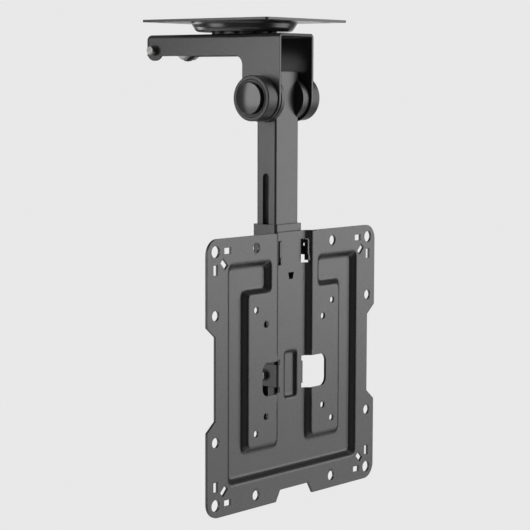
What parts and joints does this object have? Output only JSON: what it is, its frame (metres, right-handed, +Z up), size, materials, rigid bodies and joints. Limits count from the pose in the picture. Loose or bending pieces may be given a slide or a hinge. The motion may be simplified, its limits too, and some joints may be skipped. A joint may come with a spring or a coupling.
{
  "type": "tv ceiling mount",
  "caption": "Folding ceiling mount for a flat television: ceiling plate, swivelling folded arm, friction pivot, slotted tube and a sliding pressed screen plate.",
  "frame": {"origin": "centre of the ceiling plate's top face, on the swivel axis", "axes": "+Z up towards the ceiling, -Y towards the viewer of the screen, the arm runs back along +Y, +X to the right seen from the screen's side"},
  "size_m": [0.22, 0.1565, 0.392],
  "materials": {
    "powder_coat": "satin black-grey powder coat with a fine texture",
    "zinc": "bright zinc plated",
    "black_steel": "blackened steel",
    "black_plastic": "fine matte black plastic",
    "lining": "dull dark friction lining"
  },
  "bodies": {
    "ceiling": {"ceiling_plate": "powder_coat", "swivel_bolt": "zinc", "swivel_washer_upper": "zinc", "swivel_washer_lower": "zinc", "swivel_nut": "zinc"},
    "arm": {"arm_bracket": "powder_coat", "swivel_disc": "black_plastic", "cross_bolt": "zinc", "cross_nut": "zinc", "cross_washer": "black_steel", "cross_collar": "black_steel", "pivot_bolt": "black_steel", "pivot_nut": "black_steel", "pivot_washer_left": "black_steel", "pivot_washer_right": "black_steel", "pivot_cover_left": "black_plastic", "pivot_cover_right": "black_plastic"},
    "post": {"post_tube": "powder_coat", "head_block": "black_steel", "friction_disc_left": "black_plastic", "friction_disc_right": "black_plastic", "friction_lining_left": "lining", "friction_lining_right": "lining", "tube_cap": "black_plastic"},
    "carriage": {"slide_collar": "powder_coat", "hook_plate_left": "powder_coat", "hook_plate_right": "powder_coat", "guide_screw": "zinc", "guide_nut": "zinc", "screen_plate": "powder_coat", "lock_screw": "zinc", "lock_nut": "zinc", "lock_washer_left": "black_steel", "lock_washer_right": "black_steel"}
  },
  "joints": [
    {"name": "swivel", "type": "hinge", "parent": "ceiling", "child": "arm", "pos_m": [0, 0, 0], "axis": [0, 0, 1], "continuous": true},
    {"name": "fold", "type": "hinge", "parent": "arm", "child": "post", "pos_m": [0, -0.0357, -0.06385], "axis": [1, 0, 0], "range_deg": [0, 90]},
    {"name": "height", "type": "slide", "parent": "post", "child": "carriage", "axis": [0, 0, 1], "range_m": [-0.04, 0.06]}
  ]
}
